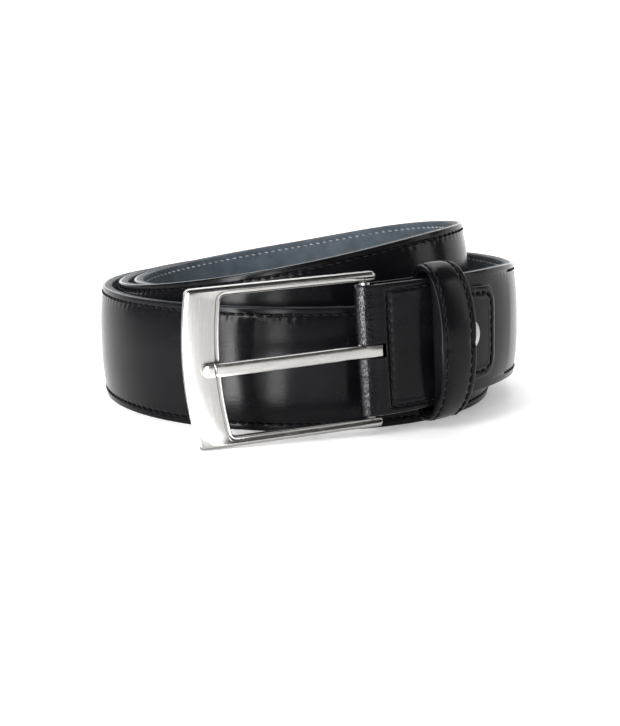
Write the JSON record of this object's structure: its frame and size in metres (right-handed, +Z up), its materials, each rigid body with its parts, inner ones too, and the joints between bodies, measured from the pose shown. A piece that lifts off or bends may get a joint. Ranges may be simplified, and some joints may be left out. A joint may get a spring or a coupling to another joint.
{
  "type": "leather belt",
  "caption": "Coiled padded leather dress belt with a hinged rectangular pin buckle, sliding keeper and riveted chape.",
  "frame": {"origin": "on the standing surface, under the middle of the coiled belt's bounding box", "axes": "+Z up along the strap's width, -Y towards the buckle side, +X towards the end of the buckle with the keeper"},
  "size_m": [0.1358, 0.1474, 0.0546],
  "materials": {
    "black_leather": "glossy, fine pebbled grain",
    "lining_leather": "matte blue-grey split leather",
    "filler_board": "painted bonded-leather edge",
    "black_thread": "matte waxed polyester thread",
    "grey_thread": "matte polyester thread",
    "brushed_nickel": "satin brushed nickel plate with polished bevels"
  },
  "bodies": {
    "strap": {"strap_outer": "black_leather", "strap_filler": "filler_board", "strap_lining": "lining_leather", "strap_thread_outer": "black_thread", "strap_thread_inner": "grey_thread", "chape": "black_leather", "chape_thread_outline": "black_thread", "chape_thread_bar": "black_thread", "rivet": "brushed_nickel", "rivet_cap": "brushed_nickel"},
    "buckle": {"buckle_frame": "brushed_nickel", "crossbar": "brushed_nickel"},
    "prong": {"prong": "brushed_nickel"},
    "keeper": {"keeper_leather": "black_leather", "keeper_lining": "lining_leather", "keeper_thread_front": "black_thread", "keeper_thread_rear": "black_thread", "keeper_staple": "brushed_nickel"}
  },
  "joints": [
    {"name": "buckle_swing", "type": "hinge", "parent": "strap", "child": "buckle", "pos_m": [0.01627, -0.05869, 0.02444], "axis": [-0.0666, -0.0048, 0.9978], "range_deg": [-5, 45]},
    {"name": "prong_swing", "type": "hinge", "parent": "buckle", "child": "prong", "pos_m": [0.01627, -0.05869, 0.02444], "axis": [-0.0666, -0.0048, 0.9978], "range_deg": [0, 75]},
    {"name": "keeper_slide", "type": "hinge", "parent": "strap", "child": "keeper", "pos_m": [-0.00333, 0.00798, 0.02377], "axis": [-0.0502, -0.0012, 0.9987], "range_deg": [-6.5, 6.5]}
  ]
}
